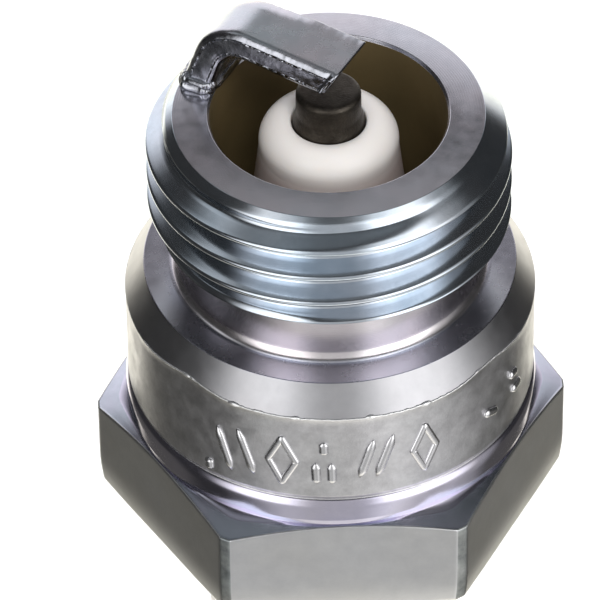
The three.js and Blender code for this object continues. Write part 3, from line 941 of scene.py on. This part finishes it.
# ---------- sealed inner pieces ----------
def filled(name, node, material, slot, dish=0.15):
    """A filling in the insulator's bore, with the slightly domed ends that pressing leaves."""
    low, high = node_box(node)
    r = high[0]
    corners = [(0.3 * r, low[2] + dish * 0.2, 0), (r - 0.1, low[2], 0.08), (r, low[2] + dish, 0.1),
               (r, high[2] - dish, 0.1), (r - 0.1, high[2], 0.08), (0.3 * r, high[2] - dish * 0.2, 0)]
    profile = [(0, low[2] + dish * 0.25)] + rounded(corners) + [(0, high[2] - dish * 0.25)]
    return fit(turned(name, profile, material, 96), PLUG, slot, node)


filled("glass_seal_lower_fused", "lower_glass_seal", seal_glass, "glass_seal")
filled("resistor_fired", "resistor", resistor_mix, "resistor_body")
filled("glass_seal_upper_fused", "upper_glass_seal", seal_glass, "glass_seal")
filled("copper_core_drawn", "center_electrode_core", copper_metal, "copper_core")

RING_MIDDLE = (4.9 + REAR_R) / 2
for name in ("lower_packing_ring", "upper_packing_ring"):
    low, high = node_box(name)
    wire = arc(RING_MIDDLE, (low[2] + high[2]) / 2, (high[2] - low[2]) / 2, 0, 345, 23)
    fit(turned(name + "_wire", wire, packing_metal, 128, closed=True), PLUG, "packing_steel", name)

talc_low, talc_high = (corner[2] for corner in node_box("talc_ring"))
talc_half, talc_dish = 0.3, 0.06
talc = [(RING_MIDDLE - talc_half, talc_low), (RING_MIDDLE, talc_low + talc_dish),
        (RING_MIDDLE + talc_half, talc_low), (RING_MIDDLE + talc_half, talc_high),
        (RING_MIDDLE, talc_high - talc_dish), (RING_MIDDLE - talc_half, talc_high)]
fit(turned("talc_ring_pressed", talc, talc_powder, 128, closed=True), PLUG, "talc", "talc_ring")


def washer():
    """The packing washer, pressed into a cone between the shell's ledge and the insulator."""
    inner, middle, outer, thick, apex = 4.0, 4.6, 5.3, 0.41, 2.23

    def cone(r):
        return apex - r

    start = (middle, cone(middle) - thick, 0)
    corners = [start, (outer, cone(outer) - thick, 0.08), (outer, cone(outer), 0.08),
               (inner, cone(inner), 0.08), (inner, cone(inner) - thick, 0.08), start]
    return turned("packing_washer_pressed", rounded(corners)[:-1], packing_metal, 128, closed=True)


fit(washer(), PLUG, "packing_steel", "inner_packing_washer")


# ---------- stage, light and camera ----------
def floor():
    """A wide sheet, far enough below the plug for the terminal nut to come off above it."""
    half, drop = 2.0, 0.1
    z = cad_box[0][2] - drop
    corners = [(-half, -half, z), (half, -half, z), (half, half, z), (-half, half, z)]
    mesh = bpy.data.meshes.new("floor")
    mesh.from_pydata(corners, [], [(0, 1, 2, 3)])
    obj = bpy.data.objects.new("floor", mesh)
    bpy.context.scene.collection.objects.link(obj)
    g = Graph(bpy.data.materials.new("floor_paper"))
    g.set(Base_Color=(0.93, 0.93, 0.93, 1), Roughness=0.9)
    g.set(Emission_Color=(1.0, 1.0, 1.0, 1), Emission_Strength=0.5)
    mesh.materials.append(g.material)
    obj.visible_glossy = False


def softbox(name, place, aim, size, power):
    """A square lamp that lights the scene from a place, turned towards a point."""
    data = bpy.data.lights.new(name, "AREA")
    data.size, data.energy = size, power
    obj = bpy.data.objects.new(name, data)
    obj.location = place
    obj.rotation_euler = (Vector(aim) - Vector(place)).to_track_quat("-Z", "Y").to_euler()
    bpy.context.scene.collection.objects.link(obj)
    return obj


CAMERA = {"lens": 390.0, "sensor": 36.0, "distance": 0.2506, "azimuth": math.radians(-2.78),
          "elevation": math.radians(42.34), "roll": -0.0130, "aim": (-0.0011646, 0.0000566, -0.00184)}


def camera():
    azimuth, elevation = CAMERA["azimuth"], CAMERA["elevation"]
    back = Vector((math.sin(azimuth) * math.cos(elevation), -math.cos(azimuth) * math.cos(elevation),
                   math.sin(elevation)))
    right = (-back).cross(Vector((0, 0, 1))).normalized()
    up = back.cross(right)
    c, s = math.cos(CAMERA["roll"]), math.sin(CAMERA["roll"])
    right, up = c * right + s * up, c * up - s * right
    data = bpy.data.cameras.new("camera")
    data.lens, data.sensor_width = CAMERA["lens"], CAMERA["sensor"]
    data.clip_start, data.clip_end = 0.01, 10
    obj = bpy.data.objects.new("camera", data)
    turn = Matrix((right, up, back)).transposed().to_4x4()
    obj.matrix_world = Matrix.Translation(Vector(CAMERA["aim"]) + back * CAMERA["distance"]) @ turn
    bpy.context.scene.collection.objects.link(obj)
    bpy.context.scene.camera = obj


def window(g, value, low, high, soft):
    """1 between low and high, falling smoothly to 0 over soft on both sides."""
    def edge(at, rising):
        made = g.node("ShaderNodeMapRange", interpolation_type="SMOOTHSTEP")
        for key, number in (("From Min", at - soft / 2), ("From Max", at + soft / 2),
                            ("To Min", 0.0 if rising else 1.0), ("To Max", 1.0 if rising else 0.0)):
            made.inputs[key].default_value = number
        g.put(made.inputs["Value"], value)
        return made.outputs[0]
    return g.math("MULTIPLY", edge(low, True), edge(high, False))


# What the metal mirrors: soft boxes as (bearing from, to, softness, elevation from, to, softness,
# brightness, colour), in degrees. Bearing 0 is the front of the studio, and right is positive.
WHITE, CREAM, COOL, PALE = (1.0, 1.0, 1.0), (1.0, 0.96, 0.83), (0.9, 0.96, 1.0), (0.97, 0.96, 1.0)
STUDIO = [
    (-58, -22, 22, -75, -23, 12, 0.12, WHITE),
    (-58, -22, 22, -23, 50, 12, 1.7, WHITE),
    (22, 66, 22, -75, -23, 12, 0.50, WHITE),
    (22, 66, 22, -23, 50, 12, 2.0, WHITE),
    (-40, 40, 30, -75, 50, 14, 0.50, WHITE),
    (62, 86, 16, -60, 56, 16, 0.35, WHITE),
    (138, 400, 14, -90, -4, 10, 1.75, CREAM),
    (-400, -138, 14, -90, -4, 10, 1.75, CREAM),
    (142, 400, 16, -4, 38, 4, 1.2, PALE),
    (-400, -142, 16, -4, 38, 4, 1.2, PALE),
    (152, 400, 14, 45, 66, 3, 0.36, WHITE),
    (-400, -166, 14, 45, 66, 3, 0.36, WHITE),
    (88, 142, 16, -90, -20, 12, 0.06, CREAM),
    (-142, -88, 16, -90, -20, 12, 0.06, CREAM),
    (-116, -92, 14, 42, 60, 10, 0.6, COOL),
    (-110, -40, 30, 60, 76, 14, 0.15, COOL),
    (40, 100, 30, 60, 76, 14, 0.08, COOL),
    (-400, 400, 10, 64, 200, 20, 0.12, COOL),
    (-400, 400, 10, -95, -60, 16, 1.1, CREAM),
]
SHADE = 0.035


def studio_world():
    world = bpy.data.worlds.new("studio")
    bpy.context.scene.world = world
    g = Graph(world, "Background", "Generated")
    x, y, z = g.node("ShaderNodeSeparateXYZ", {0: g.where}).outputs
    bearing = g.math("DEGREES", g.math("ARCTAN2", x, g.math("MULTIPLY", y, -1.0)))
    elevation = g.math("DEGREES", g.math("ARCSINE", z))
    total = (SHADE, SHADE, SHADE)
    for left, right, blur, low, high, fade, bright, color in STUDIO:
        across, upright = window(g, bearing, left, right, blur), window(g, elevation, low, high, fade)
        mask = g.math("MULTIPLY", across, upright)
        total = g.mix(mask, total, tuple(bright * c for c in color), "ADD")
    paper = g.node("ShaderNodeLightPath").outputs["Is Camera Ray"]
    g.put(g.shader.inputs["Color"], g.mix(paper, total, (1.0, 1.0, 1.0)))


floor()
camera()
studio_world()
overhead = softbox("softbox_overhead", (0.04, -0.3, 0.45), (0, 0, 0), 0.22, 2.2)
overhead.visible_glossy = False
bpy.context.scene.view_settings.view_transform = "Standard"
